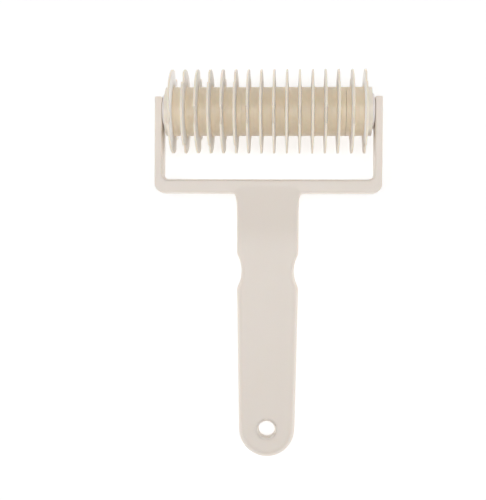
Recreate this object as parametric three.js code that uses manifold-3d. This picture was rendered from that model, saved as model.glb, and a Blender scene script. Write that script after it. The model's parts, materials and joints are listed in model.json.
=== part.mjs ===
// Lattice roller cutter for pastry: notched wheels keyed to a shaft that rolls in a fork with a flat handle.
// Millimetres. The tool is drawn flat: the roller's axis along X through the origin, the handle along -Y.
// It is then tipped about X until it lies on its wheels and on the end of its handle, with +Z up.

import * as THREE from 'three';
import { mergeVertices } from 'three/addons/utils/BufferGeometryUtils.js';
import Module from 'manifold-3d';

const wasm = await Module();
wasm.setup();

// Cutter wheels
const wheelCount = 16;
const wheelPitch = 6.54;
const wheelRadius = 21.5;
const hubRadius = 12.5;
const hubGap = 0.3;
const bladeRootThickness = 1.8;
const bladeRimThickness = 1.0;
const notchCount = 3;
const notchRadius = 4.2;
const notchCentreBeyondRim = 0.6;
const notchStartAngle = THREE.MathUtils.degToRad(-18);

// The stack has a little play, and it shows as one open seam after this wheel
const wheelsBeforeOpenSeam = 14;
const openSeam = 0.5;

// Shaft
const keyAcrossFlats = 8;
const keyClearance = 0.3;
const journalRadius = 2.5;
const journalClearance = 0.3;
const journalSetBack = 0.4;

// End caps
const capRadius = 9.2;
const capThickness = 1.15;
const capEdgeRadius = 0.7;
const capGap = 0.3;
const spigotLength = 2;
const spigotWall = 1;

// Fork
const runningGap = 0.3;
const armThickness = 3.85;
const armDepth = 14;
const armReach = 7;
const armTipRadius = 1;
const crossbarHeight = 6.6;
const rimToCrossbar = 14.1;
const innerCornerRadius = 3;
const outerCornerRadius = 4.8;
const forkEdgeRadius = 0.9;

// Handle
const neckRootWidth = 34.2;
const neckWidth = 31.7;
const neckFlareLength = 8;
const neckLength = 31.4;
const neckEdgeRadius = 1.2;
const neckSetBack = 0.05;
const rampInset = 3;
const rampStraight = 20;
const waistLength = 17.2;
const waistDepth = 2.3;
const gripLength = 73.3;
const gripEndWidth = 28.8;
const gripThickness = 7.5;
const gripEdgeRadius = 3;
const hangHoleRadius = 4.3;
const hangHoleEdgeRadius = 0.8;

// Facets
const wheelSides = 36;
const notchSides = 18;
const shaftSides = 24;
const capSides = 36;
const holeSides = 32;
const edgeSteps = 3;
const cornerSteps = 5;
const rampSteps = 8;
const waistSteps = 10;
const endSteps = 9;
const weldDistance = 1e-4;

// Places along the roller's axis, from its middle
const hubLength = wheelPitch - hubGap;
const stackHalf = (wheelCount * wheelPitch - hubGap + openSeam) / 2;
const capSeat = stackHalf + capGap;
const armInner = capSeat + capThickness + runningGap;
const armOuter = armInner + armThickness;

// Places along the handle, from the roller's axis
const crossbarInner = -(wheelRadius + rimToCrossbar);
const crossbarOuter = crossbarInner - crossbarHeight;
const rampTop = crossbarInner - rampInset;
const waistTop = crossbarOuter - neckLength;
const waistMiddle = waistTop - waistLength / 2;
const waistBottom = waistTop - waistLength;
const endCentre = waistBottom - gripLength;
const endRadius = gripEndWidth / 2;

// Heights of the handle over the roller's axis: its back lies level with the fork's
const handleBack = neckSetBack - armDepth / 2;
const gripFront = handleBack + gripThickness;
const gripMiddle = (handleBack + gripFront) / 2;

// Solid of a closed geometry, for joining and cutting
function solidOf(geometry) {
  const bare = geometry.clone();
  bare.deleteAttribute('normal');
  bare.deleteAttribute('uv');
  const welded = mergeVertices(bare, weldDistance);
  const corners = welded.index.array;
  const kept = [];
  for (let i = 0; i < corners.length; i += 3) {
    const [a, b, c] = corners.slice(i, i + 3);
    if (a !== b && b !== c && c !== a) kept.push(a, b, c);
  }
  const vertProperties = new Float32Array(welded.attributes.position.array);
  const triVerts = new Uint32Array(kept);
  return new wasm.Manifold(new wasm.Mesh({ numProp: 3, vertProperties, triVerts }));
}

// Flat-shaded geometry of a solid
function geometryOf(solid) {
  const cut = solid.getMesh();
  const geometry = new THREE.BufferGeometry();
  geometry.setAttribute('position', new THREE.BufferAttribute(cut.vertProperties, 3));
  geometry.setIndex(new THREE.BufferAttribute(cut.triVerts, 1));
  const faceted = geometry.toNonIndexed();
  faceted.computeVertexNormals();
  return faceted;
}

// Turns a geometry made about the Y axis so that it lies about the X axis
function aboutX(geometry) {
  return geometry.rotateZ(-Math.PI / 2);
}

function mouldedPlastic(colour, roughness) {
  return new THREE.MeshStandardMaterial({ color: colour, roughness, metalness: 0 });
}

function piece(name, geometry, material) {
  const mesh = new THREE.Mesh(geometry, material);
  mesh.name = name;
  return mesh;
}

// A prism along X that keys the wheels, or with a clearance the bore that takes it
function keyPrism(length, clearance) {
  const cornerRadius = (keyAcrossFlats / 2 + clearance) / Math.cos(Math.PI / 6);
  return solidOf(aboutX(new THREE.CylinderGeometry(cornerRadius, cornerRadius, length, 6)));
}

// One wheel about the X axis: a tapered blade on a hub, notched round its rim and bored for the key
function wheelGeometry() {
  const profile = [
    new THREE.Vector2(0, -hubLength / 2),
    new THREE.Vector2(hubRadius, -hubLength / 2),
    new THREE.Vector2(hubRadius, -bladeRootThickness / 2),
    new THREE.Vector2(wheelRadius, -bladeRimThickness / 2),
    new THREE.Vector2(wheelRadius, bladeRimThickness / 2),
    new THREE.Vector2(hubRadius, bladeRootThickness / 2),
    new THREE.Vector2(hubRadius, hubLength / 2),
    new THREE.Vector2(0, hubLength / 2),
  ];
  let wheel = solidOf(aboutX(new THREE.LatheGeometry(profile, wheelSides)));
  wheel = wheel.subtract(keyPrism(2 * hubLength, keyClearance));
  for (let i = 0; i < notchCount; i += 1) {
    const notch = aboutX(new THREE.CylinderGeometry(notchRadius, notchRadius, hubLength, notchSides));
    notch.translate(0, wheelRadius + notchCentreBeyondRim, 0);
    notch.rotateX((i * 2 * Math.PI) / notchCount);
    wheel = wheel.subtract(solidOf(notch));
  }
  return geometryOf(wheel);
}

// The key runs through the wheels, and a round journal at each end runs through the cap and the arm
function shaftGeometry() {
  const keyLength = 2 * (capSeat - spigotLength - capGap);
  const shaftLength = 2 * (armOuter - journalSetBack);
  const journals = new THREE.CylinderGeometry(journalRadius, journalRadius, shaftLength, shaftSides);
  return geometryOf(keyPrism(keyLength, 0).add(solidOf(aboutX(journals))));
}

// A round button with a spigot that centres it in the end wheel, seated at x = 0 and facing +X
function capGeometry() {
  const bore = journalRadius + journalClearance;
  const profile = new THREE.Path();
  profile.moveTo(bore, -spigotLength);
  profile.lineTo(bore + spigotWall, -spigotLength);
  profile.lineTo(bore + spigotWall, 0);
  profile.lineTo(capRadius, 0);
  profile.lineTo(capRadius, capThickness - capEdgeRadius);
  const edgeCentre = capRadius - capEdgeRadius;
  profile.absarc(edgeCentre, capThickness - capEdgeRadius, capEdgeRadius, 0, Math.PI / 2, false);
  profile.lineTo(bore, capThickness);
  profile.lineTo(bore, -spigotLength);
  return geometryOf(solidOf(aboutX(new THREE.LatheGeometry(profile.getPoints(edgeSteps), capSides))));
}

// Front outline of the fork: two arms that reach past the roller's axis and a crossbar, with rounded corners
function forkShape() {
  const outerCorner = crossbarOuter + outerCornerRadius;
  const innerCorner = crossbarInner + innerCornerRadius;
  const tipCorner = armReach - armTipRadius;
  const left = Math.PI;
  const up = 0.5 * Math.PI;
  const down = -0.5 * Math.PI;
  const shape = new THREE.Shape();
  shape.moveTo(-armOuter, tipCorner);
  shape.lineTo(-armOuter, outerCorner);
  shape.absarc(outerCornerRadius - armOuter, outerCorner, outerCornerRadius, left, left + up, false);
  shape.lineTo(armOuter - outerCornerRadius, crossbarOuter);
  shape.absarc(armOuter - outerCornerRadius, outerCorner, outerCornerRadius, down, 0, false);
  shape.lineTo(armOuter, tipCorner);
  shape.absarc(armOuter - armTipRadius, tipCorner, armTipRadius, 0, up, false);
  shape.lineTo(armInner + armTipRadius, armReach);
  shape.absarc(armInner + armTipRadius, tipCorner, armTipRadius, up, left, false);
  shape.lineTo(armInner, innerCorner);
  shape.absarc(armInner - innerCornerRadius, innerCorner, innerCornerRadius, 0, down, true);
  shape.lineTo(innerCornerRadius - armInner, crossbarInner);
  shape.absarc(innerCornerRadius - armInner, innerCorner, innerCornerRadius, left + up, left, true);
  shape.lineTo(-armInner, tipCorner);
  shape.absarc(-armInner - armTipRadius, tipCorner, armTipRadius, 0, up, false);
  shape.lineTo(armTipRadius - armOuter, armReach);
  shape.absarc(armTipRadius - armOuter, tipCorner, armTipRadius, up, left, false);
  return shape;
}

// The fork is one even depth, and its edges are rounded
function forkSolid() {
  const geometry = new THREE.ExtrudeGeometry(forkShape(), {
    depth: armDepth - 2 * forkEdgeRadius,
    bevelThickness: forkEdgeRadius,
    bevelSize: forkEdgeRadius,
    bevelOffset: -forkEdgeRadius,
    bevelSegments: edgeSteps,
    curveSegments: cornerSteps,
  });
  return solidOf(geometry.translate(0, 0, forkEdgeRadius - armDepth / 2));
}

// Right-hand outline of the handle, from inside the crossbar to the tip of the grip
function handleOutline() {
  const neckHalf = neckWidth / 2;
  const flareEnd = crossbarOuter - neckFlareLength;
  const waistRadius = ((waistLength / 2) ** 2 + waistDepth ** 2) / (2 * waistDepth);
  const waistSweep = Math.asin(waistLength / 2 / waistRadius);
  const waistCentre = neckHalf - waistDepth + waistRadius;
  const outline = new THREE.Path();
  outline.moveTo(neckRootWidth / 2, crossbarOuter + crossbarHeight / 2);
  outline.lineTo(neckRootWidth / 2, crossbarOuter);
  const flare = new THREE.QuadraticBezierCurve(
    new THREE.Vector2(neckRootWidth / 2, crossbarOuter),
    new THREE.Vector2(neckHalf, crossbarOuter - neckFlareLength / 4),
    new THREE.Vector2(neckHalf, flareEnd),
  );
  flare.getPoints(edgeSteps).slice(1).forEach((point) => outline.lineTo(point.x, point.y));
  for (let i = 1; i <= rampSteps; i += 1) {
    outline.lineTo(neckHalf, THREE.MathUtils.lerp(flareEnd, waistTop, i / rampSteps));
  }
  const waist = new THREE.ArcCurve(
    waistCentre, waistMiddle, waistRadius, Math.PI - waistSweep, Math.PI + waistSweep, false,
  );
  waist.getPoints(waistSteps).slice(1).forEach((point) => outline.lineTo(point.x, point.y));
  outline.lineTo(endRadius, endCentre);
  const end = new THREE.ArcCurve(0, endCentre, endRadius, 0, -0.5 * Math.PI, true);
  end.getPoints(endSteps).slice(1, -1).forEach((point) => outline.lineTo(point.x, point.y));
  outline.lineTo(0, endCentre - endRadius);
  return outline.getPoints();
}

// Height of the handle's front: a straight ramp from the fork's front, eased into the grip's at the waist
function handleFront(y) {
  const fall = armDepth / 2 - neckSetBack - gripFront;
  const ease = rampTop - waistTop - rampStraight;
  const slope = fall / (rampStraight + ease / 2);
  const along = THREE.MathUtils.clamp(rampTop - y, 0, rampStraight + ease);
  const eased = Math.max(along - rampStraight, 0);
  return gripFront + fall - slope * (along - eased ** 2 / (2 * ease));
}

// Edge rounding: small on the neck, growing along the waist to the grip's
function handleEdgeRadius(y) {
  const along = THREE.MathUtils.clamp((waistTop - y) / waistLength, 0, 1);
  return THREE.MathUtils.lerp(neckEdgeRadius, gripEdgeRadius, along);
}

// The section of the handle at each point of its outline, as a closed ring of points
function handleRings(outline) {
  return outline.map((point, i) => {
    const before = outline[Math.max(i - 1, 0)];
    const last = i === outline.length - 1;
    const after = last ? new THREE.Vector2(-before.x, before.y) : outline[i + 1];
    const inward = new THREE.Vector2(after.y - before.y, before.x - after.x).normalize();
    const radius = handleEdgeRadius(point.y);
    const front = handleFront(point.y);
    const middle = (front + handleBack) / 2;
    const right = [];
    for (let step = 0; step <= edgeSteps; step += 1) {
      const turn = (Math.PI / 2) * (1 - step / edgeSteps);
      const inset = radius * (1 - Math.cos(turn));
      const height = front - radius * (1 - Math.sin(turn));
      right.push(new THREE.Vector3(point.x + inward.x * inset, point.y + inward.y * inset, height));
    }
    const under = right.map((p) => new THREE.Vector3(p.x, p.y, 2 * middle - p.z)).reverse();
    const rightSide = right.concat(under);
    const leftSide = rightSide.map((p) => new THREE.Vector3(-p.x, p.y, p.z)).reverse();
    return rightSide.concat(leftSide);
  });
}

// The handle as a skin over its rings, closed by a flat cap inside the crossbar
function handleSolid() {
  const rings = handleRings(handleOutline());
  const size = rings[0].length;
  const positions = rings.flat().flatMap((p) => p.toArray());
  const index = [];
  for (let ring = 0; ring < rings.length - 1; ring += 1) {
    for (let i = 0; i < size; i += 1) {
      const a = ring * size + i;
      const b = ring * size + ((i + 1) % size);
      index.push(a, a + size, b);
      index.push(b, a + size, b + size);
    }
  }
  for (let i = 1; i < size - 1; i += 1) index.push(0, i, i + 1);
  const geometry = new THREE.BufferGeometry();
  geometry.setAttribute('position', new THREE.Float32BufferAttribute(positions, 3));
  geometry.setIndex(index);
  return solidOf(geometry);
}

// Cutter for the hanging hole, flared at both faces so that the hole's edges are round
function hangHoleCutter() {
  const face = gripThickness / 2;
  const mouth = hangHoleRadius + hangHoleEdgeRadius;
  const turn = face - hangHoleEdgeRadius;
  const profile = new THREE.Path();
  profile.moveTo(0, -gripThickness);
  profile.lineTo(mouth, -gripThickness);
  profile.lineTo(mouth, -face);
  profile.absarc(mouth, -turn, hangHoleEdgeRadius, -0.5 * Math.PI, -Math.PI, true);
  profile.lineTo(hangHoleRadius, turn);
  profile.absarc(mouth, turn, hangHoleEdgeRadius, Math.PI, 0.5 * Math.PI, true);
  profile.lineTo(mouth, gripThickness);
  profile.lineTo(0, gripThickness);
  const cutter = new THREE.LatheGeometry(profile.getPoints(edgeSteps), holeSides);
  cutter.rotateX(Math.PI / 2);
  return solidOf(cutter.translate(0, endCentre, gripMiddle));
}

// Turns a side outline, drawn with Y along its X, so that its depth lies along X
const alongX = new THREE.Matrix4().makeBasis(
  new THREE.Vector3(0, 1, 0),
  new THREE.Vector3(0, 0, 1),
  new THREE.Vector3(1, 0, 0),
);

// Cutter for the part of the ramp that runs into the crossbar's front
function rampCutter() {
  const foot = crossbarOuter - crossbarHeight;
  const shape = new THREE.Shape();
  shape.moveTo(rampTop, handleFront(rampTop));
  shape.lineTo(rampTop, armDepth);
  shape.lineTo(foot, armDepth);
  shape.lineTo(foot, handleFront(foot));
  const width = neckWidth - 2 * neckEdgeRadius;
  const wedge = new THREE.ExtrudeGeometry(shape, { depth: width, bevelEnabled: false });
  return solidOf(wedge.translate(0, 0, -width / 2).applyMatrix4(alongX));
}

function forkHandleGeometry() {
  const bearing = journalRadius + journalClearance;
  const bearings = new THREE.CylinderGeometry(bearing, bearing, 4 * armOuter, holeSides);
  let solid = forkSolid().subtract(rampCutter()).add(handleSolid());
  solid = solid.subtract(hangHoleCutter());
  solid = solid.subtract(solidOf(aboutX(bearings)));
  return geometryOf(solid);
}

// Angle at which the wheels and the lower edge of the grip's end both touch a flat surface
function lyingAngle() {
  const reach = endRadius - endCentre - gripEdgeRadius;
  const drop = -handleBack - gripEdgeRadius;
  return Math.asin((wheelRadius - gripEdgeRadius) / Math.hypot(reach, drop)) - Math.atan2(drop, reach);
}

function rollerPieces() {
  const roller = new THREE.Group();
  roller.rotation.x = notchStartAngle;
  roller.add(piece('roller_shaft', shaftGeometry(), mouldedPlastic(0xcdbfae, 0.5)));
  const leftCap = piece('left_end_cap', capGeometry(), mouldedPlastic(0xd9cdbf, 0.45));
  leftCap.position.x = -capSeat;
  leftCap.rotation.y = Math.PI;
  const rightCap = piece('right_end_cap', capGeometry(), mouldedPlastic(0xd9cdbf, 0.45));
  rightCap.position.x = capSeat;
  roller.add(leftCap, rightCap);
  for (let i = 0; i < wheelCount; i += 1) {
    const name = `cutter_wheel_${String(i + 1).padStart(2, '0')}`;
    const wheel = piece(name, wheelGeometry(), mouldedPlastic(0xdccbb6, 0.45));
    const seam = i < wheelsBeforeOpenSeam ? 0 : openSeam;
    wheel.position.x = hubLength / 2 - stackHalf + i * wheelPitch + seam;
    // Neighbours are turned half a notch apart, which is one flat of the key
    wheel.rotation.x = (i % 2) * (Math.PI / notchCount);
    roller.add(wheel);
  }
  return roller;
}

const tool = new THREE.Group();
tool.add(piece('fork_handle', forkHandleGeometry(), mouldedPlastic(0xdfd6cd, 0.4)));
tool.add(rollerPieces());
tool.rotation.x = lyingAngle();

// The model's origin is the middle of the surface that it lies on
const model = new THREE.Group();
model.add(tool);
const box = new THREE.Box3().setFromObject(model, true);
const middle = box.getCenter(new THREE.Vector3());
tool.position.set(-middle.x, -middle.y, -box.min.z);

export default model;
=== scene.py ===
"""Looks of a lattice roller cutter: a fork with a flat handle that carries a roller of notched wheels.

The tool lies on its wheels and on the end of its grip. Every piece is drawn in the tool's own
millimetres, with the roller's axis along X through the origin, the handle towards -Y and the upper
face towards +Z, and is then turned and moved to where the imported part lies.
"""

import json
import logging
import math
from collections.abc import Iterable, Sequence
from dataclasses import dataclass, field
from enum import Enum

import bmesh
import bpy
from mathutils import Euler, Matrix, Vector
from mathutils.geometry import delaunay_2d_cdt


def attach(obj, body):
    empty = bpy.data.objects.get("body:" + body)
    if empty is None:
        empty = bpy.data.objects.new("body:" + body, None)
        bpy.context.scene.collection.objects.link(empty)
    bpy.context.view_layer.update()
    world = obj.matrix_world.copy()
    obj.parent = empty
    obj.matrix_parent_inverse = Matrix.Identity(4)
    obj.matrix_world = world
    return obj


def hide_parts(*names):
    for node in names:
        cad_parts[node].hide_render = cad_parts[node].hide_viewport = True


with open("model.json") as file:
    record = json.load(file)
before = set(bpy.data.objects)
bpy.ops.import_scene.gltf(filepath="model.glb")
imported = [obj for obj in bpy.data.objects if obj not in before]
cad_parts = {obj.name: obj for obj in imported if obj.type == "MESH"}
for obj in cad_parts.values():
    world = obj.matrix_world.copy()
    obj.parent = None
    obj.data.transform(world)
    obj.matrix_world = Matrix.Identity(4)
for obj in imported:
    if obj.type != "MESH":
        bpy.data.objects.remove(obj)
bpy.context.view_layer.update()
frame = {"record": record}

LOG = logging.getLogger("lattice_roller_cutter")
MILLIMETRE = 0.001
SHARP_ANGLE = math.radians(38)
BLADE_SHARE = "blade_share"

Colour = tuple[float, float, float]
Value = bpy.types.NodeSocket | float | int | tuple


class Body(Enum):
    """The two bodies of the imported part."""

    FORK = "fork"
    ROLLER = "roller"


class Slot(Enum):
    """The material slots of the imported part."""

    FORK = "fork_plastic"
    WHEEL = "wheel_plastic"
    CAP = "cap_plastic"
    SHAFT = "shaft_plastic"


class Section(Enum):
    """The outline of one ring of the roller's shaft."""

    POINT = "point"
    ROUND = "round"
    HEXAGON = "hexagon"


def smooth_step(value: float, start: float, end: float) -> float:
    """Eases from nought to one.

    Args:
        value: Where to read the ramp.
        start: The value that gives nought.
        end: The value that gives one.

    Returns:
        The eased share between nought and one.
    """
    share = min(1.0, max(0.0, (value - start) / (end - start)))
    return share * share * (3.0 - 2.0 * share)


@dataclass(frozen=True)
class ToolFrame:
    """Where the tool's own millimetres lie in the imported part.

    Attributes:
        axis: A point of the roller's axis, in metres.
        tilt: The angle by which the handle slopes down to its end.
    """

    axis: Vector
    tilt: float

    @classmethod
    def from_record(cls, record: dict) -> "ToolFrame":
        """Reads the axis from the roller's joint and the slope from the grip's front face.

        Args:
            record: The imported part's record.

        Returns:
            The tool's frame.
        """
        joint = next(entry for entry in record["behaviour"]["joints"] if entry["name"] == "roller_spin")
        face = next(entry for entry in record["mounts"] if entry["name"] == "grip_front_face")
        return cls(Vector(joint["pos_m"]), math.atan2(-face["axis"][1], face["axis"][2]))

    def matrix(self) -> Matrix:
        """Returns:
            The matrix from the tool's millimetres to the part's metres.
        """
        turn = Matrix.Rotation(self.tilt, 4, "X")
        return Matrix.Translation(self.axis) @ turn @ Matrix.Scale(MILLIMETRE, 4)


class NodeSketch:
    """Adds and links the nodes of one shader or geometry tree."""

    def __init__(self, tree: bpy.types.NodeTree) -> None:
        """Args:
            tree: The tree that takes the nodes.
        """
        self.tree = tree

    def feed(self, socket: bpy.types.NodeSocket, value: Value) -> None:
        """Links an output to an input, or sets the input's own number.

        Args:
            socket: The input to fill.
            value: An output socket or a plain value.
        """
        if isinstance(value, bpy.types.NodeSocket):
            self.tree.links.new(value, socket)
        else:
            socket.default_value = value

    def add(self, kind: str, inputs: dict[str | int, Value] | None = None,
            **settings: object) -> bpy.types.Node:
        """Adds one node.

        Args:
            kind: The node's type name.
            inputs: Values for its inputs, by name or by place.
            settings: The node's own settings.

        Returns:
            The new node.
        """
        node = self.tree.nodes.new(kind)
        for name, setting in settings.items():
            setattr(node, name, setting)
        for key, value in (inputs or {}).items():
            self.feed(node.inputs[key], value)
        return node

    def math(self, operation: str, first: Value, second: Value = 0.0,
             third: Value = 0.0) -> bpy.types.NodeSocket:
        """Adds one math node.

        Args:
            operation: The math node's operation.
            first: Its first value.
            second: Its second value.
            third: Its third value.

        Returns:
            The result's socket.
        """
        node = self.add("ShaderNodeMath", {0: first, 1: second, 2: third}, operation=operation)
        return node.outputs[0]


@dataclass(frozen=True)
class MouldedPlastic:
    """A satin moulded plastic with a faint mottle, an uneven sheen and a fine grain.

    Attributes:
        name: The material's name.
        colour: The plastic's main colour.
        mottle: The colour of its faint patches.
        roughness: The middle of its sheen's range.
        glow: How much light it lets through its surface.
        grain: The depth of its fine grain, in metres.
    """

    name: str
    colour: Colour
    mottle: Colour
    roughness: float
    glow: float
    grain: float

    def material(self) -> bpy.types.Material:
        """Returns:
            The finished procedural material.
        """
        material = bpy.data.materials.new(self.name)
        material.use_nodes = True
        material.node_tree.nodes.clear()
        sketch = NodeSketch(material.node_tree)
        place = sketch.add("ShaderNodeTexCoord").outputs["Object"]
        cloud = self.noise(sketch, place, 55.0, 4.0)
        speck = self.noise(sketch, place, 900.0, 3.0)
        grain = self.noise(sketch, place, 3200.0, 2.0)
        wave = self.noise(sketch, place, 130.0, 2.0)
        patch = sketch.math("MULTIPLY_ADD", speck, 0.35, sketch.math("MULTIPLY", cloud, 0.65))
        share = self.ranged(sketch, patch, 0.38, 0.66, 0.0, 1.0)
        base = sketch.add("ShaderNodeMix", {"Factor": share}, data_type="RGBA")
        base.inputs[6].default_value = (*self.colour, 1.0)
        base.inputs[7].default_value = (*self.mottle, 1.0)
        colour = self.coloured(sketch, base.outputs[2])
        sheen = self.ranged(sketch, sketch.math("ADD", cloud, wave), 0.7, 1.3, -0.03, 0.03)
        rough = sketch.math("ADD", sheen, self.roughness)
        height = sketch.math("MULTIPLY_ADD", wave, 3.0, grain)
        bump = sketch.add("ShaderNodeBump", {"Strength": 1.0, "Distance": self.grain, "Height": height})
        shader = sketch.add("ShaderNodeBsdfPrincipled", {
            "Base Color": colour,
            "Roughness": rough,
            "Normal": bump.outputs["Normal"],
            "IOR": 1.5,
            "Specular IOR Level": 0.5,
            "Subsurface Weight": self.glow,
            "Subsurface Radius": (1.0, 0.62, 0.38),
            "Subsurface Scale": 0.0016,
        })
        surface = self.covered(sketch, shader.outputs["BSDF"], bump.outputs["Normal"])
        sketch.add("ShaderNodeOutputMaterial", {"Surface": surface})
        return material

    def coloured(self, sketch: NodeSketch, base: bpy.types.NodeSocket) -> bpy.types.NodeSocket:
        """Lets a kind of plastic change its colour from place to place; plain plastic doesn't.

        Args:
            sketch: The material's tree.
            base: The mottled colour.

        Returns:
            The colour's socket.
        """
        return base

    def covered(self, sketch: NodeSketch, shader: bpy.types.NodeSocket,
                normal: bpy.types.NodeSocket) -> bpy.types.NodeSocket:
        """Lets a kind of plastic add to its surface; plain plastic doesn't.

        Args:
            sketch: The material's tree.
            shader: The surface.
            normal: The grained normal.

        Returns:
            The surface's socket.
        """
        return shader

    @staticmethod
    def noise(sketch: NodeSketch, place: bpy.types.NodeSocket, scale: float,
              detail: float) -> bpy.types.NodeSocket:
        """Adds a noise pattern.

        Args:
            sketch: The material's tree.
            place: The coordinates it is read at.
            scale: Its repeats per metre.
            detail: Its number of finer layers.

        Returns:
            The pattern's value.
        """
        node = sketch.add("ShaderNodeTexNoise", {"Vector": place, "Scale": scale, "Detail": detail})
        return node.outputs[0]

    @staticmethod
    def ranged(sketch: NodeSketch, value: Value, low: float, high: float, to_low: float,
               to_high: float) -> bpy.types.NodeSocket:
        """Maps one range onto another, clamped.

        Args:
            sketch: The material's tree.
            value: The value to map.
            low: The start of its range.
            high: The end of its range.
            to_low: What the start becomes.
            to_high: What the end becomes.

        Returns:
            The mapped value.
        """
        node = sketch.add("ShaderNodeMapRange", {0: value, 1: low, 2: high, 3: to_low, 4: to_high})
        return node.outputs[0]


@dataclass(frozen=True)
class BladePlastic(MouldedPlastic):
    """A moulded plastic that pales and lets light through where the mesh's blade share is high. The paling
    partly paints the light through the thin blades and the shade between them at the hub.

    Attributes:
        rim_colour: The plastic's colour where it is thinnest, which also paints the light that passes the
            thin blade.
        passing: The share of light that passes the thinnest plastic.
        rim_paling: How far the narrow rim pales, where a blade's sides pale fully.
        end_paling: How far the outer ends of the stack pale.
        ends: Where that paling starts and is full, along the axis from the middle, in metres.
        thinning: The blade shares at which the thin blade starts and is full.
        narrowing: The blade shares at which the narrow rim starts and is full.
    """

    rim_colour: Colour
    passing: float
    rim_paling: float = 0.35
    end_paling: float = 0.5
    ends: tuple[float, float] = (0.0497, 0.0500)
    thinning: tuple[float, float] = (0.02, 0.22)
    narrowing: tuple[float, float] = (0.93, 0.98)

    def coloured(self, sketch: NodeSketch, base: bpy.types.NodeSocket) -> bpy.types.NodeSocket:
        """Pales the base colour towards the rim, and on the stack's outer ends. The paling partly paints
        the light through the thin blades, and the darker tan left at the hub partly paints the shade
        between them.

        Args:
            sketch: The material's tree.
            base: The mottled colour of thick plastic, which at the hub is partly painted shade between the
                blades.

        Returns:
            The colour's socket.
        """
        place = sketch.add("ShaderNodeTexCoord").outputs["Object"]
        along = sketch.add("ShaderNodeSeparateXYZ", {0: place}).outputs[0]
        outer = self.ranged(sketch, sketch.math("ABSOLUTE", along), *self.ends, 0.0, self.end_paling)
        # Painted light and shade, partly the plastic's own thinness: pale out on the thin blade where light
        # passes, darker tan at the hub where the blades shade it.
        blade = sketch.math("MULTIPLY", self.thin(sketch), self.side(sketch, 1.0, self.rim_paling))
        pale = sketch.math("MAXIMUM", blade, outer)
        paled = sketch.add("ShaderNodeMix", {"Factor": pale}, data_type="RGBA")
        sketch.feed(paled.inputs[6], base)
        paled.inputs[7].default_value = (*self.rim_colour, 1.0)
        return paled.outputs[2]

    def covered(self, sketch: NodeSketch, shader: bpy.types.NodeSocket,
                normal: bpy.types.NodeSocket) -> bpy.types.NodeSocket:
        """Lets light through the thin plastic.

        Args:
            sketch: The material's tree.
            shader: The surface of thick plastic.
            normal: The grained normal.

        Returns:
            The surface's socket.
        """
        through = sketch.add("ShaderNodeBsdfTranslucent", {
            "Color": (*self.rim_colour, 1.0), "Normal": normal})
        share = sketch.math("MULTIPLY", self.thin(sketch), self.side(sketch, self.passing, 0.0))
        both = sketch.add("ShaderNodeMixShader", {0: share, 1: shader, 2: through.outputs[0]})
        return both.outputs[0]

    def side(self, sketch: NodeSketch, blade: float, rim: float) -> bpy.types.NodeSocket:
        """Tells the blade's thin sides from its narrow rim, where the plastic is as deep as the blade.

        Args:
            sketch: The material's tree.
            blade: The value on the blade's sides.
            rim: The value on its rim.

        Returns:
            The value.
        """
        node = sketch.add("ShaderNodeAttribute", attribute_name=BLADE_SHARE)
        return self.ranged(sketch, node.outputs["Fac"], *self.narrowing, blade, rim)

    def thin(self, sketch: NodeSketch) -> bpy.types.NodeSocket:
        """Tells how thin the plastic is, from nought on the hub to one on the blade.

        Args:
            sketch: The material's tree.

        Returns:
            The value.
        """
        node = sketch.add("ShaderNodeAttribute", attribute_name=BLADE_SHARE)
        return self.ranged(sketch, node.outputs["Fac"], *self.thinning, 0.0, 1.0)


GRAIN = 2e-6
FORK_FINISH = MouldedPlastic(
    "fork_plastic_finish", colour=(0.898, 0.816, 0.736), mottle=(0.891, 0.807, 0.725),
    roughness=0.31, glow=0.10, grain=GRAIN)
# The wheel's tan near the hub is partly painted shade between the blades, and its pale rim colour is partly
# painted light through the thin blades.
WHEEL_FINISH = BladePlastic(
    "wheel_plastic_finish", colour=(0.980, 0.838, 0.645), mottle=(0.973, 0.826, 0.630),
    roughness=0.38, glow=0.20, grain=GRAIN, rim_colour=(0.972, 0.960, 0.945), passing=0.85)
CAP_FINISH = MouldedPlastic(
    "cap_plastic_finish", colour=(0.902, 0.840, 0.822), mottle=(0.893, 0.829, 0.809),
    roughness=0.40, glow=0.10, grain=GRAIN)
SHAFT_FINISH = MouldedPlastic(
    "shaft_plastic_finish", colour=(0.880, 0.800, 0.720), mottle=(0.866, 0.784, 0.702),
    roughness=0.42, glow=0.10, grain=GRAIN)


def finished_piece(name: str, mesh: bpy.types.Mesh, material: bpy.types.Material, body: Body,
                   node: str) -> bpy.types.Object:
    """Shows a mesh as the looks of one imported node.

    Args:
        name: The piece's name.
        mesh: Its mesh, already in the part's metres.
        material: Its finish.
        body: The body it moves with.
        node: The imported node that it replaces.

    Returns:
        The finished piece.
    """
    mesh.materials.clear()
    mesh.materials.append(material)
    mesh.shade_smooth()
    mesh.set_sharp_from_angle(angle=SHARP_ANGLE)
    piece = bpy.data.objects.new(name, mesh)
    bpy.context.scene.collection.objects.link(piece)
    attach(piece, body.value)
    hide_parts(node)
    LOG.info("%s stands for %s with %d faces", name, node, len(mesh.polygons))
    return piece


def closed_mesh(name: str, shape: bmesh.types.BMesh, merge: float = 1e-3) -> bpy.types.Mesh:
    """Welds a shape, turns its faces outward and keeps it as a mesh.

    Args:
        name: The mesh's name.
        shape: The shape, which is used up.
        merge: How near two corners are when they are one.

    Returns:
        The mesh.
    """
    bmesh.ops.remove_doubles(shape, verts=shape.verts, dist=merge)
    bmesh.ops.dissolve_degenerate(shape, dist=merge * 0.1, edges=shape.edges)
    bmesh.ops.recalc_face_normals(shape, faces=shape.faces)
    mesh = bpy.data.meshes.new(name)
    shape.to_mesh(mesh)
    shape.free()
    return mesh


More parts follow.
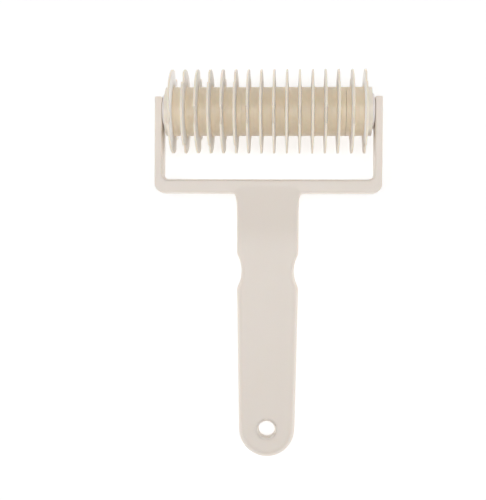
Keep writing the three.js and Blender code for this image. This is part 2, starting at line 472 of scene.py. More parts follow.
def turned_mesh(name: str, profile: Sequence[tuple[float, float]], segments: int) -> bpy.types.Mesh:
    """Turns a closed profile about the X axis.

    Args:
        name: The mesh's name.
        profile: Its corners as distance along the axis and radius.
        segments: The number of steps round the axis.

    Returns:
        The turned mesh.
    """
    shape = bmesh.new()
    rings = []
    for step in range(segments):
        angle = 2.0 * math.pi * step / segments
        across = Vector((0.0, math.cos(angle), math.sin(angle)))
        rings.append([shape.verts.new(Vector((along, 0.0, 0.0)) + across * radius)
                      for along, radius in profile])
    for step in range(segments):
        here, after = rings[step], rings[(step + 1) % segments]
        for place in range(len(profile)):
            beyond = (place + 1) % len(profile)
            if profile[place][1] + profile[beyond][1] > 0.0:
                shape.faces.new((here[place], here[beyond], after[beyond], after[place]))
    return closed_mesh(name, shape)


def quarter_round(along: float, radius: float, size: float, steps: int = 6) -> list[tuple[float, float]]:
    """Lists the points of a rounded outer corner of a turned profile, from its end face to its rim.

    Args:
        along: The corner circle's centre along the axis.
        radius: The corner circle's centre radius.
        size: The corner's own radius.
        steps: The number of steps along it.

    Returns:
        The points as distance along the axis and radius.
    """
    angles = [0.5 * math.pi * step / steps for step in range(steps + 1)]
    return [(along + size * math.cos(angle), radius + size * math.sin(angle)) for angle in angles]


@dataclass(frozen=True)
class Station:
    """One place on the outline of the flat moulding.

    Attributes:
        place: The place on the outline, seen from above.
        inward: The direction into the plastic, seen from above.
        edge: The radius of the rounded edge there.
    """

    place: Vector
    inward: Vector
    edge: float


@dataclass
class ForkHandle:
    """The fork and its handle, one moulding with rounded edges and a hanging hole.

    The front is a height over the plan outline: level on the fork, a ramp down the neck and level on
    the grip. The back is flat. Rings of corners round the edges over, and the faces inside are filled.
    """

    tool: ToolFrame
    arm_outer: float = 58.02
    arm_inner: float = 54.17
    arm_reach: float = 7.0
    front: float = 7.0
    back: float = -7.0
    crossbar_inner: float = -35.6
    crossbar_outer: float = -42.2
    inner_corner: float = 3.0
    inner_draft: float = 0.7
    outer_corner: float = 4.8
    tip_corner: float = 0.7
    neck_root: float = 17.1
    neck_joint: float = 8.0
    neck_margin: float = 2.0
    flare_pull: float = 2.0
    neck_half: float = 15.85
    neck_flare_end: float = -50.2
    ramp_top: float = -38.6
    ramp_straight: float = 20.0
    ramp_sides: tuple[float, float] = (0.3, -1.7)
    ramp_ends: tuple[float, float] = (1.2, -1.6)
    waist_top: float = -73.6
    waist_bottom: float = -90.8
    waist_depth: float = 2.3
    grip_top_half: float = 15.85
    grip_end_half: float = 14.4
    grip_end_centre: float = -164.1
    grip_front: float = 0.5
    fork_edge: float = 0.9
    tip_edge: float = 0.5
    neck_edge: float = 1.3
    grip_edge: float = 3.0
    edge_blend: float = 4.0
    hole_radius: float = 4.3
    hole_edge: float = 0.9
    bearing_radius: float = 2.8
    bearing_chamfer: float = 0.35
    spacing: float = 0.35
    edge_steps: int = 7
    arc_steps: int = 32
    flare_steps: int = 12
    hole_steps: int = 72
    bearing_steps: int = 64
    support: float = 0.3
    seam_height: float = 0.12
    seam_rise: float = 0.05
    corner_passes: int = 14
    filler_spacing: float = 1.1
    filler_half: float = 11.9
    filler_waist: float = 3.0
    filler_margin: float = 4.0
    filler_rise: float = 1.6

    def build(self) -> bpy.types.Object:
        """Returns:
            The finished moulding.
        """
        mesh = self.moulding_mesh()
        mesh = self.with_bearing_holes(mesh)
        mesh.transform(self.tool.matrix())
        finish = self.dress()
        return finished_piece("fork_handle_moulding", mesh, finish, Body.FORK, "fork_handle")

    def dress(self) -> bpy.types.Material:
        """Returns:
            The moulding's finish.
        """
        return FORK_FINISH.material()

    def outline(self) -> list[Vector]:
        """Returns:
            The closed outline seen from above, with the plastic on its right.
        """
        tip = self.arm_reach - self.tip_corner
        fork = [Vector((0.0, self.crossbar_inner))]
        fork += self.arc(self.arm_inner - self.inner_corner, self.crossbar_inner + self.inner_corner,
                         self.inner_corner, -90.0, 0.0)
        fork += self.arc(self.arm_inner + self.tip_corner, tip, self.tip_corner, 180.0, 90.0)
        fork += self.arc(self.arm_outer - self.tip_corner, tip, self.tip_corner, 90.0, 0.0)
        fork += self.arc(self.arm_outer - self.outer_corner, self.crossbar_outer + self.outer_corner,
                         self.outer_corner, 0.0, -90.0)
        joint = Vector((self.neck_root + self.neck_joint, self.crossbar_outer))
        right = self.evenly([*fork, joint])[:-1] + self.softened(self.evenly(self.handle_path(joint)))
        left = [Vector((-point.x, point.y)) for point in reversed(right[1:-1])]
        return right + left

    def handle_path(self, joint: Vector) -> list[Vector]:
        """Lists the corners of the handle's right side.

        Args:
            joint: Where the path starts, on the crossbar's outer side.

        Returns:
            The path from there to the grip's end.
        """
        flare = [Vector((self.neck_root, self.crossbar_outer)),
                 Vector((self.neck_half, self.crossbar_outer - self.flare_pull)),
                 Vector((self.neck_half, self.neck_flare_end))]
        path = [joint]
        path += [flare[0].lerp(flare[1], share).lerp(flare[1].lerp(flare[2], share), share)
                 for share in self.shares(self.flare_steps)]
        path += [Vector((self.neck_half, self.waist_top))]
        half_chord = 0.5 * (self.waist_top - self.waist_bottom)
        radius = (half_chord ** 2 + self.waist_depth ** 2) / (2.0 * self.waist_depth)
        reach = math.degrees(math.asin(half_chord / radius))
        middle = 0.5 * (self.waist_top + self.waist_bottom)
        path += self.arc(self.neck_half - self.waist_depth + radius, middle, radius,
                         180.0 - reach, 180.0 + reach)
        path += [Vector((self.grip_top_half, self.waist_bottom))]
        path += self.arc(0.0, self.grip_end_centre, self.grip_end_half, 0.0, -90.0)
        return path

    @staticmethod
    def shares(count: int) -> list[float]:
        """Lists even shares from nought to one.

        Args:
            count: The number of steps.

        Returns:
            The shares.
        """
        return [step / count for step in range(count + 1)]

    def arc(self, x: float, y: float, radius: float, start: float, end: float) -> list[Vector]:
        """Lists the points of an arc.

        Args:
            x: The centre's place across the tool.
            y: The centre's place along the tool.
            radius: The arc's radius.
            start: Its first angle in degrees.
            end: Its last angle in degrees.

        Returns:
            The points.
        """
        angles = [math.radians(start + (end - start) * share) for share in self.shares(self.arc_steps)]
        return [Vector((x + radius * math.cos(angle), y + radius * math.sin(angle))) for angle in angles]

    def evenly(self, path: Sequence[Vector]) -> list[Vector]:
        """Spaces the points of a path evenly.

        Args:
            path: The path's corners.

        Returns:
            Points along the path at the moulding's spacing.
        """
        lengths = [0.0]
        for here, after in zip(path, path[1:]):
            lengths.append(lengths[-1] + (after - here).length)
        count = round(lengths[-1] / self.spacing)
        points, place = [], 0
        for step in range(count + 1):
            goal = lengths[-1] * step / count
            while place < len(path) - 2 and lengths[place + 1] < goal:
                place += 1
            gap = lengths[place + 1] - lengths[place]
            points.append(path[place].lerp(path[place + 1], (goal - lengths[place]) / gap if gap else 0.0))
        return points

    def softened(self, points: list[Vector]) -> list[Vector]:
        """Rounds the corners of an evenly spaced path a little.

        Args:
            points: The path.

        Returns:
            The path with soft corners.
        """
        for _ in range(self.corner_passes):
            inner = [0.25 * a + 0.5 * b + 0.25 * c for a, b, c in zip(points, points[1:], points[2:])]
            points = [points[0], *inner, points[-1]]
        return points

    def front_height(self, x: float, y: float) -> float:
        """Reads the height of the front over the roller's axis.

        Args:
            x: The place across the tool.
            y: The place along the tool.

        Returns:
            The height, before the edges are rounded.
        """
        ease = self.ramp_top - self.waist_top - self.ramp_straight
        slope = (self.front - self.grip_front) / (self.ramp_straight + 0.5 * ease)
        along = min(max(self.ramp_top - y, 0.0), self.ramp_straight + ease)
        eased = max(along - self.ramp_straight, 0.0)
        fall = slope * (along - 0.5 * eased * eased / ease)
        within = smooth_step(abs(x), *(self.neck_half + reach for reach in self.ramp_sides))
        below = smooth_step(y, *(self.crossbar_outer + reach for reach in self.ramp_ends))
        return self.front - fall * max(within, below)

    def edge_radius(self, x: float, y: float) -> float:
        """Reads the radius of the rounded edge.

        Args:
            x: The place across the tool.
            y: The place along the tool.

        Returns:
            The radius.
        """
        neck = smooth_step(y, self.crossbar_outer, self.neck_flare_end)
        grip = smooth_step(y, self.waist_top + self.edge_blend, self.waist_bottom)
        if abs(x) > self.neck_root + self.neck_margin:
            neck = 0.0
        tip = smooth_step(y, self.arm_reach - self.edge_blend, self.arm_reach - self.tip_corner)
        edge = self.fork_edge + (self.neck_edge - self.fork_edge) * neck
        edge += (self.tip_edge - self.fork_edge) * tip
        return edge + (self.grip_edge - edge) * grip

    def outline_stations(self) -> list[Station]:
        """Returns:
            The stations round the closed outline.
        """
        path = self.outline()
        stations = []
        for before, point, after in zip([path[-1], *path], path, [*path[1:], path[0]]):
            course = (after - before).normalized()
            stations.append(Station(point, Vector((course.y, -course.x)), self.edge_radius(*point)))
        return stations

    def hole_stations(self) -> list[Station]:
        """Returns:
            The stations round the hanging hole.
        """
        centre = Vector((0.0, self.grip_end_centre))
        outward = [Vector((math.cos(angle), math.sin(angle)))
                   for angle in (2.0 * math.pi * share for share in self.shares(self.hole_steps)[:-1])]
        return [Station(centre + self.hole_radius * way, way, self.hole_edge) for way in outward]

    def column(self, station: Station) -> list[Vector]:
        """Lists the corners over and under one station, from the top face round to the underside.

        Args:
            station: The station.

        Returns:
            Its corners.
        """
        upper = []
        for share in reversed(self.shares(self.edge_steps)):
            angle = 0.5 * math.pi * share
            upper.append((station.edge * (1.0 - math.cos(angle)), station.edge * (1.0 - math.sin(angle))))
        upper.insert(0, (station.edge * (1.0 + self.support), 0.0))
        middle = 0.5 * (self.front_height(*station.place) + self.back)
        rows, under = [], []
        for inset, drop in upper:
            place = station.place + inset * station.inward
            rows.append(Vector((*place, self.front_height(*place) - drop)))
            under.insert(0, Vector((*place, self.back + drop)))
        wall = station.place - self.draft(*station.place) * station.inward
        rows.append(Vector((*wall, middle + self.seam_height)))
        under.insert(0, Vector((*wall, middle - self.seam_height)))
        seam = Vector((*(wall - self.seam_rise * station.inward), middle))
        return [*rows, seam, *under]

    def draft(self, x: float, y: float) -> float:
        """Reads how far a side wall stands out at its middle.

        Args:
            x: The place across the tool.
            y: The place along the tool.

        Returns:
            The distance, nought but on the crossbar's inner wall.
        """
        if abs(x) > self.arm_inner or y < self.crossbar_inner - 0.1:
            return 0.0
        corner_end = self.crossbar_inner + self.inner_corner
        return self.inner_draft * smooth_step(y, corner_end, self.crossbar_inner)

    def filler_points(self) -> list[Vector]:
        """Returns:
            Points on the sloping part of the upper face, well inside its edges.
        """
        points = []
        rows = int((self.ramp_top - self.waist_bottom) / self.filler_spacing)
        for row in range(-1, rows):
            y = self.ramp_top - row * self.filler_spacing
            narrow = smooth_step(y, self.waist_top + self.edge_blend, self.waist_top - self.edge_blend)
            reach = self.filler_half - self.filler_waist * narrow
            if y > self.crossbar_outer + self.filler_rise:
                reach = self.neck_root + self.filler_margin
            count = int(reach / self.filler_spacing)
            points += [Vector((self.filler_spacing * step, y)) for step in range(-count, count + 1)]
        return points

    def face_triangles(self, outline: Sequence[Vector],
                       hole: Sequence[Vector]) -> tuple[list[Vector], list, list]:
        """Fills the flat part of a face.

        Args:
            outline: The inner ring of the outline, seen from above.
            hole: The inner ring of the hanging hole, seen from above.

        Returns:
            The corners, the triangles between them, and the first given corner behind each, if any.
        """
        corners = [*outline, *hole, *self.filler_points()]
        split, ends = len(outline), len(outline) + len(hole)
        edges = [(place, (place + 1) % split) for place in range(split)]
        edges += [(place, split + (place + 1 - split) % len(hole)) for place in range(split, ends)]
        places, _, faces, origins, _, _ = delaunay_2d_cdt(corners, edges, [list(range(split))], 1, 1e-5)
        middle = Vector((0.0, self.grip_end_centre))
        clear = self.hole_radius + 0.5 * self.hole_edge
        kept = []
        for face in faces:
            centre = sum((places[corner] for corner in face), Vector((0.0, 0.0))) / len(face)
            if (centre - middle).length > clear:
                kept.append(face)
        return places, kept, [origin[0] if origin else -1 for origin in origins]

    def moulding_mesh(self) -> bpy.types.Mesh:
        """Returns:
            The closed moulding in the tool's millimetres, without its bearing holes.
        """
        shape = bmesh.new()
        loop = self.outline_stations()
        ring = self.hole_stations()
        columns = [[shape.verts.new(point) for point in self.column(station)] for station in loop]
        wall = [[shape.verts.new(point) for point in self.column(station)] for station in ring]
        pairs = [(columns[place], columns[(place + 1) % len(loop)]) for place in range(len(loop))]
        pairs += [(wall[place], wall[(place + 1) % len(ring)]) for place in range(len(ring))]
        for here, after in pairs:
            for row in range(len(here) - 1):
                shape.faces.new((here[row], after[row], after[row + 1], here[row + 1]))
        flat = [column[0].co.xy for column in columns], [column[0].co.xy for column in wall]
        places, triangles, origins = self.face_triangles(*flat)
        known = [*columns, *wall]
        for row in (0, -1):
            corners = []
            for place, origin in zip(places, origins):
                if 0 <= origin < len(known):
                    corners.append(known[origin][row])
                else:
                    height = self.front_height(*place) if row == 0 else self.back
                    corners.append(shape.verts.new((*place, height)))
            for triangle in triangles:
                shape.faces.new([corners[corner] for corner in triangle])
        return closed_mesh("fork_handle_shape", shape)

    def with_bearing_holes(self, mesh: bpy.types.Mesh) -> bpy.types.Mesh:
        """Cuts the round holes that carry the roller's journals.

        Args:
            mesh: The moulding.

        Returns:
            The moulding with its holes.
        """
        body = bpy.data.objects.new("fork_handle_blank", mesh)
        bpy.context.scene.collection.objects.link(body)
        wide = self.bearing_radius + self.bearing_chamfer
        beyond = 1.0
        profile = [(self.arm_inner - beyond, 0.0), (self.arm_inner - beyond, wide), (self.arm_inner, wide),
                   (self.arm_inner + self.bearing_chamfer, self.bearing_radius),
                   (self.arm_outer - self.bearing_chamfer, self.bearing_radius), (self.arm_outer, wide),
                   (self.arm_outer + beyond, wide), (self.arm_outer + beyond, 0.0)]
        cutters = []
        for side in (1.0, -1.0):
            mirrored = [(side * along, radius) for along, radius in profile]
            drill = turned_mesh("bearing_drill", mirrored, self.bearing_steps)
            cutter = bpy.data.objects.new("bearing_drill", drill)
            bpy.context.scene.collection.objects.link(cutter)
            cut = body.modifiers.new("bearing_hole", "BOOLEAN")
            cut.operation, cut.solver, cut.object = "DIFFERENCE", "EXACT", cutter
            cutters.append(cutter)
        view = bpy.context.evaluated_depsgraph_get()
        holed = bpy.data.meshes.new_from_object(body.evaluated_get(view))
        for helper in (body, *cutters):
            bpy.data.objects.remove(helper)
        return holed


@dataclass
class CutterWheels:
    """The sixteen keyed wheels, alike but for their places, each turned half a notch from the last."""

    tool: ToolFrame
    count: int = 16
    first: float = -49.3
    pitch: float = 6.54
    seam_after: int = 14
    seam: float = 0.5
    seam_fill: float = 0.36
    start_angle: float = math.radians(-18.0)
    stagger: float = math.radians(60.0)
    weld: float = 0.0005
    sizes: dict[str, float] = field(default_factory=lambda: {
        "Wheel Radius": 21.5, "Hub Radius": 12.5, "Hub Length": 6.53, "Root Thickness": 1.8,
        "Rim Thickness": 1.0, "Bore Flat": 4.15, "Hub Edge": 0.03, "Root Round": 0.6, "Rim Edge": 0.3,
        "Notch Radius": 4.2, "Notch Centre": 22.1})
    steps: dict[str, int] = field(default_factory=lambda: {
        "Notch Count": 3, "Turn Steps": 240, "Round Steps": 5})

    def build(self) -> list[bpy.types.Object]:
        """Returns:
            The finished wheels, from left to right.
        """
        material = self.dress()
        pattern = self.pattern_mesh(material)
        pieces = []
        for place in range(self.count):
            mesh = pattern.copy()
            mesh.name = f"wheel_shape_{place + 1:02d}"
            if place == self.seam_after - 1:
                self.lengthen_hub(mesh)
            mesh.transform(self.tool.matrix() @ self.place_of(place))
            node = f"cutter_wheel_{place + 1:02d}"
            name = f"notched_wheel_{place + 1:02d}"
            pieces.append(finished_piece(name, mesh, material, Body.ROLLER, node))
        bpy.data.meshes.remove(pattern)
        return pieces

    def dress(self) -> bpy.types.Material:
        """Returns:
            The wheels' finish.
        """
        return WHEEL_FINISH.material()

    def lengthen_hub(self, mesh: bpy.types.Mesh) -> None:
        """Moves the hub's right face out, so that only a fine line is left of the wide seam.

        Args:
            mesh: The wheel about the X axis, in millimetres.
        """
        face = self.sizes["Hub Length"] / 2.0 - 2.0 * self.sizes["Hub Edge"]
        for point in mesh.vertices:
            if point.co.x > face:
                point.co.x += self.seam_fill

    def place_of(self, place: int) -> Matrix:
        """Finds where a wheel sits on the shaft.

        Args:
            place: The wheel's number from the left, from nought.

        Returns:
            The matrix in the tool's millimetres.
        """
        along = self.first + place * self.pitch
        if place >= self.seam_after:
            along += self.seam
        turn = self.start_angle + (place % 2) * self.stagger
        return Matrix.Translation((along, 0.0, 0.0)) @ Matrix.Rotation(turn, 4, "X")

    def pattern_mesh(self, material: bpy.types.Material) -> bpy.types.Mesh:
        """Evaluates the wheel's node tree once.

        Args:
            material: The wheels' finish.

        Returns:
            One wheel about the X axis, in millimetres.
        """
        tree = self.wheel_tree()
        host = bpy.data.objects.new("wheel_pattern", bpy.data.meshes.new("wheel_pattern"))
        bpy.context.scene.collection.objects.link(host)
        maker = host.modifiers.new("wheel", "NODES")
        maker.node_group = tree
        chosen = {**self.sizes, **self.steps, "Material": material}
        for item in tree.interface.items_tree:
            if item.in_out == "INPUT" and item.name in chosen:
                maker[item.identifier] = chosen[item.name]
        view = bpy.context.evaluated_depsgraph_get()
        made = bpy.data.meshes.new_from_object(host.evaluated_get(view))
        bpy.data.objects.remove(host)
        shape = bmesh.new()
        shape.from_mesh(made)
        bpy.data.meshes.remove(made)
        return closed_mesh("wheel_pattern_shape", shape)

    def wheel_tree(self) -> bpy.types.GeometryNodeTree:
        """Draws the wheel's rules as a node tree.

        A closed profile with rounded corners is laid round the axis. Its rim falls in to the round
        notches, and its bore stands out to the corners of a hexagon.

        Returns:
            The tree.
        """
        tree = bpy.data.node_groups.new("notched_wheel", "GeometryNodeTree")
        for name in self.sizes:
            tree.interface.new_socket(name, in_out="INPUT", socket_type="NodeSocketFloat")
        for name in self.steps:
            tree.interface.new_socket(name, in_out="INPUT", socket_type="NodeSocketInt")
        tree.interface.new_socket("Material", in_out="INPUT", socket_type="NodeSocketMaterial")
        tree.interface.new_socket("Geometry", in_out="OUTPUT", socket_type="NodeSocketGeometry")
        sketch = NodeSketch(tree)
        given = sketch.add("NodeGroupInput").outputs
        index = sketch.add("GeometryNodeInputIndex").outputs[0]
        profile = self.profile_nodes(sketch, given, index)
        size = sketch.add("GeometryNodeAttributeDomainSize", {"Geometry": profile}, component="CURVE")
        count = size.outputs["Point Count"]
        across = sketch.math("ADD", count, 1.0)
        sheet = sketch.add("GeometryNodeMeshGrid", {
            "Vertices X": sketch.math("ADD", given["Turn Steps"], 1.0), "Vertices Y": across})
        turn = sketch.math("FLOOR", sketch.math("DIVIDE", sketch.math("ADD", index, 0.5), across))
        corner = sketch.math("SUBTRACT", index, sketch.math("MULTIPLY", turn, across))
        corner = sketch.math("FLOORED_MODULO", corner, count)
        spot = sketch.add("GeometryNodeSampleIndex", {
            "Geometry": profile, "Index": corner}, data_type="FLOAT_VECTOR", domain="POINT")
        sketch.feed(spot.inputs["Value"], sketch.add("GeometryNodeInputPosition").outputs[0])
        parts = sketch.add("ShaderNodeSeparateXYZ", {0: spot.outputs[0]}).outputs
        angle = sketch.math("MULTIPLY", turn, sketch.math("DIVIDE", 2.0 * math.pi, given["Turn Steps"]))
        radius = self.radius_nodes(sketch, given, parts[1], angle)
        place = sketch.add("ShaderNodeCombineXYZ", {
            0: parts[0],
            1: sketch.math("MULTIPLY", radius, sketch.math("COSINE", angle)),
            2: sketch.math("MULTIPLY", radius, sketch.math("SINE", angle))})
        laid = sketch.add("GeometryNodeSetPosition", {
            "Geometry": sheet.outputs["Mesh"], "Position": place.outputs[0]})
        reach = sketch.math("DIVIDE", sketch.math("SUBTRACT", parts[1], given["Hub Radius"]),
                            sketch.math("SUBTRACT", given["Wheel Radius"], given["Hub Radius"]))
        marked = sketch.add("GeometryNodeStoreNamedAttribute", {
            "Geometry": laid.outputs[0], "Name": BLADE_SHARE, "Value": sketch.math("MAXIMUM", reach, 0.0)},
            data_type="FLOAT", domain="POINT")
        welded = sketch.add("GeometryNodeMergeByDistance", {
            "Geometry": marked.outputs[0], "Distance": self.weld})
        real = sketch.add("GeometryNodeRealizeInstances", {"Geometry": welded.outputs[0]})
        dressed = sketch.add("GeometryNodeSetMaterial", {
            "Geometry": real.outputs[0], "Material": given["Material"]})
        sketch.add("NodeGroupOutput", {0: dressed.outputs[0]})
        return tree

    @staticmethod
    def profile_nodes(sketch: NodeSketch, given: bpy.types.NodeOutputs,
                      index: bpy.types.NodeSocket) -> bpy.types.NodeSocket:
        """Draws the wheel's half section with rounded corners.

        Args:
            sketch: The wheel's tree.
            given: The tree's inputs.
            index: The index field.

        Returns:
            The closed profile, its X along the axis and its Y the radius.
        """
        half = {name: sketch.math("MULTIPLY", given[name], 0.5)
                for name in ("Hub Length", "Root Thickness", "Rim Thickness")}
        right = [(half["Rim Thickness"], given["Wheel Radius"], given["Rim Edge"]),
                 (half["Root Thickness"], given["Hub Radius"], given["Root Round"]),
                 (half["Hub Length"], given["Hub Radius"], given["Hub Edge"]),
                 (half["Hub Length"], given["Bore Flat"], 0.0)]
        left = [(sketch.math("MULTIPLY", along, -1.0), radius, edge)
                for along, radius, edge in reversed(right)]
        corners = [*left, *right]
        places = sketch.add("GeometryNodeIndexSwitch", data_type="VECTOR")
        rounds = sketch.add("GeometryNodeIndexSwitch", data_type="FLOAT")
        for switch in (places, rounds):
            while len(switch.index_switch_items) < len(corners):
                switch.index_switch_items.new()
            sketch.feed(switch.inputs["Index"], index)
        for number, (along, radius, edge) in enumerate(corners):
            spot = sketch.add("ShaderNodeCombineXYZ", {0: along, 1: radius})
            sketch.feed(places.inputs[number + 1], spot.outputs[0])
            sketch.feed(rounds.inputs[number + 1], edge)
        points = sketch.add("GeometryNodePoints", {"Count": len(corners), "Position": places.outputs[0]})
        line = sketch.add("GeometryNodePointsToCurves", {0: points.outputs[0]})
        straight = sketch.add("GeometryNodeCurveSplineType", {"Curve": line.outputs[0]}, spline_type="POLY")
        ring = sketch.add("GeometryNodeSetSplineCyclic", {0: straight.outputs[0], "Cyclic": True})
        rounded = sketch.add("GeometryNodeFilletCurve", {
            "Curve": ring.outputs[0], "Count": given["Round Steps"], "Radius": rounds.outputs[0],
            "Limit Radius": True}, mode="POLY")
        return rounded.outputs[0]

    @staticmethod
    def radius_nodes(sketch: NodeSketch, given: bpy.types.NodeOutputs, radius: bpy.types.NodeSocket,
                     angle: bpy.types.NodeSocket) -> bpy.types.NodeSocket:
        """Draws the rules that shape the rim and the bore.

        Args:
            sketch: The wheel's tree.
            given: The tree's inputs.
            radius: The profile's radius.
            angle: The angle round the axis.

        Returns:
            The radius at that angle.
        """
        hub, rim = given["Hub Radius"], given["Wheel Radius"]
        period = sketch.math("DIVIDE", 2.0 * math.pi, given["Notch Count"])
        off = sketch.math("PINGPONG", angle, sketch.math("MULTIPLY", period, 0.5))
        aside = sketch.math("MULTIPLY", given["Notch Centre"], sketch.math("SINE", off))
        ahead = sketch.math("MULTIPLY", given["Notch Centre"], sketch.math("COSINE", off))
        room = sketch.math("SUBTRACT", sketch.math("POWER", given["Notch Radius"], 2.0),
                           sketch.math("POWER", aside, 2.0))
        cut = sketch.math("SUBTRACT", ahead, sketch.math("SQRT", sketch.math("MAXIMUM", room, 0.0)))
        within = sketch.math("MULTIPLY", sketch.math("GREATER_THAN", room, 0.0),
                             sketch.math("GREATER_THAN", ahead, 0.0))
        deep = sketch.math("MAXIMUM", sketch.math("SUBTRACT", rim, cut), 0.0)
        loss = sketch.math("MULTIPLY", within, deep)
        share = sketch.math("DIVIDE", sketch.math("SUBTRACT", radius, hub),
                            sketch.math("SUBTRACT", rim, hub))
        notched = sketch.math("SUBTRACT", radius, sketch.math(
            "MULTIPLY", loss, sketch.math("MAXIMUM", share, 0.0)))
        flat = sketch.math("SUBTRACT", sketch.math(
            "FLOORED_MODULO", sketch.math("ADD", angle, math.pi / 6.0), math.pi / 3.0), math.pi / 6.0)
        hexagon = sketch.math("DIVIDE", radius, sketch.math("COSINE", flat))
        inside = sketch.math("LESS_THAN", radius, sketch.math("MULTIPLY", hub, 0.6))
        return sketch.math("ADD", notched, sketch.math(
            "MULTIPLY", inside, sketch.math("SUBTRACT", hexagon, radius)))


@dataclass
class EndCaps:
    """The two round caps on the stack's ends, each centred by a spigot in the end wheel."""

    tool: ToolFrame
    seat: float = 52.72
    radius: float = 9.2
    thickness: float = 1.15
    edge: float = 0.7
    bore: float = 2.8
    spigot_radius: float = 3.8
    spigot_length: float = 2.0
    break_edge: float = 0.15
    segments: int = 120

    def build(self) -> list[bpy.types.Object]:
        """Returns:
            The finished caps, left and right.
        """
        material = self.dress()
        return [self.cap("left", -1.0, material), self.cap("right", 1.0, material)]

    def dress(self) -> bpy.types.Material:
        """Returns:
            The caps' finish.
        """
        return CAP_FINISH.material()

    def cap(self, name: str, side: float, material: bpy.types.Material) -> bpy.types.Object:
        """Makes one cap.

        Args:
            name: The side's name.
            side: The side's sign along X.
            material: The caps' finish.

        Returns:
            The finished cap.
        """
        outer = self.seat + self.thickness
        inner = self.seat - self.spigot_length
        profile = [(inner, self.bore), (inner, self.spigot_radius), (self.seat, self.spigot_radius),
                   (self.seat, self.radius - self.break_edge), (self.seat + self.break_edge, self.radius)]
        rounded = quarter_round(outer - self.edge, self.radius - self.edge, self.edge)
        profile += [*reversed(rounded), (outer, self.bore)]
        mirrored = [(side * along, radius) for along, radius in profile]
        mesh = turned_mesh(f"{name}_cap_shape", mirrored, self.segments)
        mesh.transform(self.tool.matrix())
        return finished_piece(f"{name}_round_cap", mesh, material, Body.ROLLER, f"{name}_end_cap")


@dataclass
class RollerShaft:
    """The hexagonal key shaft with a round journal at each end."""

    tool: ToolFrame
    key_half: float = 50.42
    key_flat: float = 4.0
    half_length: float = 57.62
    journal: float = 2.5
    chamfer: float = 0.3
    segments: int = 96
    start_angle: float = math.radians(-18.0)

    def build(self) -> bpy.types.Object:
        """Returns:
            The finished shaft.
        """
        side = [(self.half_length, Section.POINT, 0.0),
                (self.half_length, Section.ROUND, self.journal - self.chamfer),
                (self.half_length - self.chamfer, Section.ROUND, self.journal),
                (self.key_half, Section.ROUND, self.journal),
                (self.key_half, Section.HEXAGON, self.key_flat - self.chamfer),
                (self.key_half - self.chamfer, Section.HEXAGON, self.key_flat)]
        rings = [(-along, form, size) for along, form, size in side] + list(reversed(side))
        mesh = self.ringed_mesh(rings)
        mesh.transform(self.tool.matrix() @ Matrix.Rotation(self.start_angle, 4, "X"))
        return finished_piece("keyed_shaft", mesh, self.dress(), Body.ROLLER, "roller_shaft")

    def dress(self) -> bpy.types.Material:
        """Returns:
            The shaft's finish.
        """
        return SHAFT_FINISH.material()

    def ringed_mesh(self, rings: Iterable[tuple[float, Section, float]]) -> bpy.types.Mesh:
        """Joins rings of the shaft into one closed mesh.

        Args:
            rings: Each ring's place along the axis, form and size.

        Returns:
            The mesh in the tool's millimetres.
        """
        shape = bmesh.new()
        rows = []
        for along, form, size in rings:
            row = []
            for step in range(self.segments):
                angle = 2.0 * math.pi * step / self.segments
                reach = size
                if form is Section.HEXAGON:
                    reach = size / math.cos((angle + math.pi / 6.0) % (math.pi / 3.0) - math.pi / 6.0)
                row.append(shape.verts.new((along, reach * math.cos(angle), reach * math.sin(angle))))
            rows.append(row)
        for here, after in zip(rows, rows[1:]):
            for step in range(self.segments):
                beyond = (step + 1) % self.segments
                shape.faces.new((here[step], here[beyond], after[beyond], after[step]))
        return closed_mesh("keyed_shaft_shape", shape)


@dataclass(frozen=True)
class Lamp:
    """One soft box lamp that faces the tool.

    Attributes:
        name: The lamp's name.
        place: Where it stands, in metres.
        width: The length of its sides that lie level, in metres.
        depth: The length of its other sides, in metres.
        power: Its power in watts.
    """

    name: str
    place: tuple[float, float, float]
    width: float
    depth: float
    power: float

    def build(self) -> bpy.types.Object:
        """Returns:
            The lamp.
        """
        light = bpy.data.lights.new(self.name, "AREA")
        light.shape = "RECTANGLE"
        light.size, light.size_y = self.width, self.depth
        light.energy = self.power
        lamp = bpy.data.objects.new(self.name, light)
        lamp.location = self.place
        lamp.rotation_mode = "QUATERNION"
        lamp.rotation_quaternion = (-Vector(self.place)).to_track_quat("-Z", "Y")
        bpy.context.scene.collection.objects.link(lamp)
        return lamp


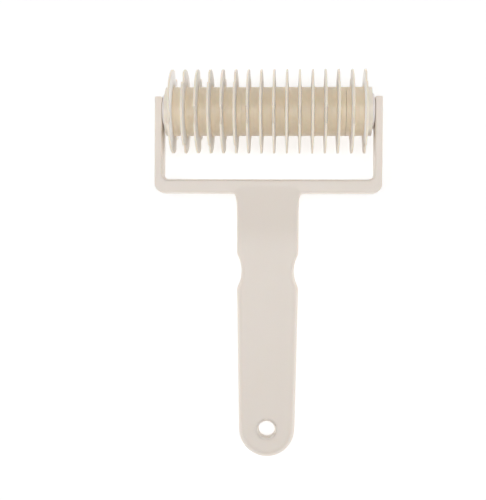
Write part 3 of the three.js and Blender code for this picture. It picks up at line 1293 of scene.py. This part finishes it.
@dataclass
class Studio:
    """The white table, the soft lamps and the camera."""

    floor_half: float = 3.0
    floor_drop: float = 0.0002
    floor_glow: float = 0.58
    floor_far_glow: float = 1.0
    glow_rise: tuple[float, float] = (0.25, 0.8)
    floor_bounce: float = 0.56
    floor_white: Colour = (0.6, 0.6, 0.6)
    far_wall: float = 1.7
    near_wall: float = 1.6
    side_walls: float = 3.0
    wall_fall: float = 3.0
    camera_place: tuple[float, float, float] = (0.015739, -0.027229, 0.498666)
    camera_turn: tuple[float, float, float] = (4.0758, 3.3262, 0.6182)
    focal_length: float = 67.59
    sensor_width: float = 36.0
    nearest: float = 0.01
    lamps: tuple[Lamp, ...] = (
        Lamp("overhead_wide_lamp", (0.0, -0.09, 2.0), 2.8, 1.58, 19.5),
        Lamp("overhead_lamp", (0.0, -0.09, 1.98), 2.8, 0.94, 10.8),
    )

    def build(self) -> None:
        """Sets the stage round the tool."""
        self.floor()
        for lamp in self.lamps:
            lamp.build()
        self.world()
        self.camera()
        bpy.context.scene.view_settings.view_transform = "Standard"

    def floor(self) -> None:
        """Lays the white table, which looks white and still keeps a faint shadow."""
        half = self.floor_half
        mesh = bpy.data.meshes.new("white_table")
        corners = [(-half, -half, -self.floor_drop), (half, -half, -self.floor_drop),
                   (half, half, -self.floor_drop), (-half, half, -self.floor_drop)]
        mesh.from_pydata(corners, [], [(0, 1, 2, 3)])
        mesh.materials.append(self.floor_material())
        table = bpy.data.objects.new("white_table", mesh)
        bpy.context.scene.collection.objects.link(table)

    def floor_material(self) -> bpy.types.Material:
        """Returns:
            A white card that glows, and for the camera more so further from the tool.
        """
        material = bpy.data.materials.new("white_card")
        material.use_nodes = True
        material.node_tree.nodes.clear()
        sketch = NodeSketch(material.node_tree)
        card = sketch.add("ShaderNodeBsdfDiffuse", {"Color": (*self.floor_white, 1.0)})
        rays = sketch.add("ShaderNodeLightPath")
        seen = rays.outputs["Is Camera Ray"]
        place = sketch.add("ShaderNodeTexCoord").outputs["Object"]
        away = sketch.add("ShaderNodeVectorMath", {0: place}, operation="LENGTH").outputs["Value"]
        shown = MouldedPlastic.ranged(sketch, away, *self.glow_rise, self.floor_glow, self.floor_far_glow)
        more = sketch.math("SUBTRACT", shown, self.floor_bounce)
        strength = sketch.math("MULTIPLY_ADD", seen, more, self.floor_bounce)
        glow = sketch.add("ShaderNodeEmission", {"Strength": strength})
        both = sketch.add("ShaderNodeAddShader", {0: card.outputs[0], 1: glow.outputs[0]})
        sketch.add("ShaderNodeOutputMaterial", {"Surface": both.outputs[0]})
        return material

    def world(self) -> None:
        """Sets the light of a room with white walls, which looks white to the camera."""
        world = bpy.data.worlds.new("white_room")
        bpy.context.scene.world = world
        world.use_nodes = True
        world.node_tree.nodes.clear()
        sketch = NodeSketch(world.node_tree)
        way = sketch.add("ShaderNodeTexCoord").outputs["Generated"]
        across, along, height = sketch.add("ShaderNodeSeparateXYZ", {0: way}).outputs
        level = sketch.math("SUBTRACT", 1.0, sketch.math("ABSOLUTE", height))
        low = sketch.math("POWER", level, self.wall_fall)
        ahead = sketch.math("GREATER_THAN", along, 0.0)
        end = sketch.math("MULTIPLY_ADD", ahead, self.far_wall - self.near_wall, self.near_wall)
        ends = sketch.math("MULTIPLY", sketch.math("POWER", sketch.math("ABSOLUTE", along), 2.0), end)
        sides = sketch.math("POWER", sketch.math("ABSOLUTE", across), 2.0)
        lit = sketch.math("MULTIPLY", low, sketch.math("MULTIPLY_ADD", sides, self.side_walls, ends))
        rays = sketch.add("ShaderNodeLightPath")
        strength = sketch.math("MAXIMUM", rays.outputs["Is Camera Ray"], lit)
        room = sketch.add("ShaderNodeBackground", {"Color": (1.0, 1.0, 1.0, 1.0), "Strength": strength})
        sketch.add("ShaderNodeOutputWorld", {"Surface": room.outputs[0]})

    def camera(self) -> None:
        """Sets the camera over the tool, as the photograph was taken."""
        lens = bpy.data.cameras.new("overhead_camera")
        lens.sensor_width = self.sensor_width
        lens.lens = self.focal_length
        lens.clip_start = self.nearest
        camera = bpy.data.objects.new("overhead_camera", lens)
        camera.location = self.camera_place
        camera.rotation_euler = Euler([math.radians(turn) for turn in self.camera_turn], "XYZ")
        bpy.context.scene.collection.objects.link(camera)
        bpy.context.scene.camera = camera


def main() -> None:
    """Builds every piece in order, then the stage."""
    logging.basicConfig(level=logging.INFO, format="%(name)s: %(message)s")
    tool = ToolFrame.from_record(frame["record"])
    ForkHandle(tool).build()
    RollerShaft(tool).build()
    CutterWheels(tool).build()
    EndCaps(tool).build()
    Studio().build()


if __name__ == "__main__":
    main()
